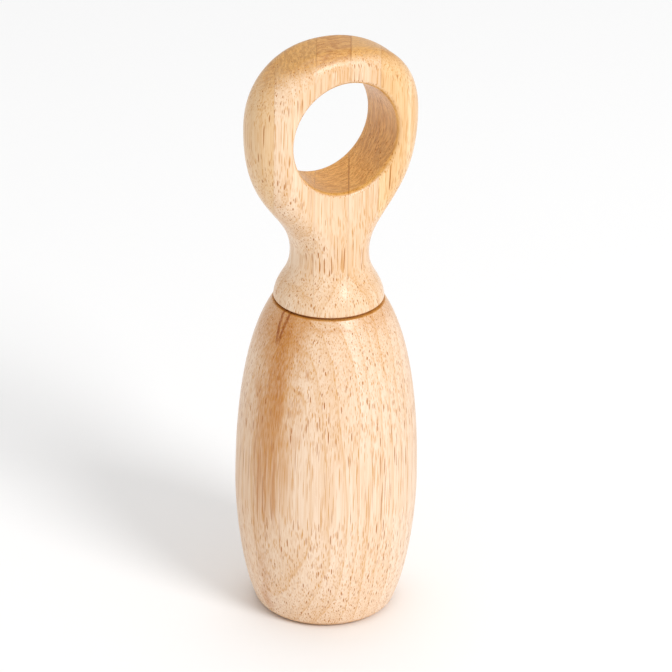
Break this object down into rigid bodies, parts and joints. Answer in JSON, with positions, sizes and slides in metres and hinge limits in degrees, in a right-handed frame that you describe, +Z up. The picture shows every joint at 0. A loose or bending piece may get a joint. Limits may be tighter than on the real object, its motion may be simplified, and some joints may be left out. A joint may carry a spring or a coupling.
{
  "type": "cocktail muddler",
  "caption": "Turned wooden muddler: a barrel-shaped head with a flat foot, and a ring handle that unscrews from it and takes a finger.",
  "frame": {"origin": "centre of the flat foot, on the floor", "axes": "+Z up along the turned axis, +X across the ring's width, -Y out of the ring's front face"},
  "size_m": [0.0636, 0.0636, 0.2095],
  "materials": {
    "barrel_head": "satin lacquered rubberwood",
    "threaded_insert": "turned",
    "seam_washer": "matt",
    "hanger_bolt": "zinc plated",
    "stave_centre": "satin lacquered rubberwood",
    "stave_crown": "satin lacquered rubberwood",
    "stave_inner_left": "satin lacquered rubberwood",
    "stave_inner_right": "satin lacquered rubberwood",
    "stave_outer_left": "satin lacquered rubberwood",
    "stave_outer_right": "satin lacquered rubberwood"
  },
  "bodies": {
    "head": {"barrel_head": "barrel_head", "threaded_insert": "threaded_insert"},
    "washer": {"seam_washer": "seam_washer"},
    "handle": {"hanger_bolt": "hanger_bolt", "stave_centre": "stave_centre", "stave_crown": "stave_crown", "stave_inner_left": "stave_inner_left", "stave_inner_right": "stave_inner_right", "stave_outer_left": "stave_outer_left", "stave_outer_right": "stave_outer_right"}
  },
  "joints": [
    {"name": "handle_lift", "type": "slide", "parent": "head", "child": "washer", "axis": [0, 0, 1], "range_m": [0, 0.0125]},
    {"name": "handle_turn", "type": "hinge", "parent": "washer", "child": "handle", "pos_m": [0, 0, 0.1174], "axis": [0, 0, 1], "range_deg": [0, 3600]}
  ],
  "couplings": [
    {"joint": "handle_lift", "follows": "handle_turn", "m_per_rad": 0.00019894}
  ]
}
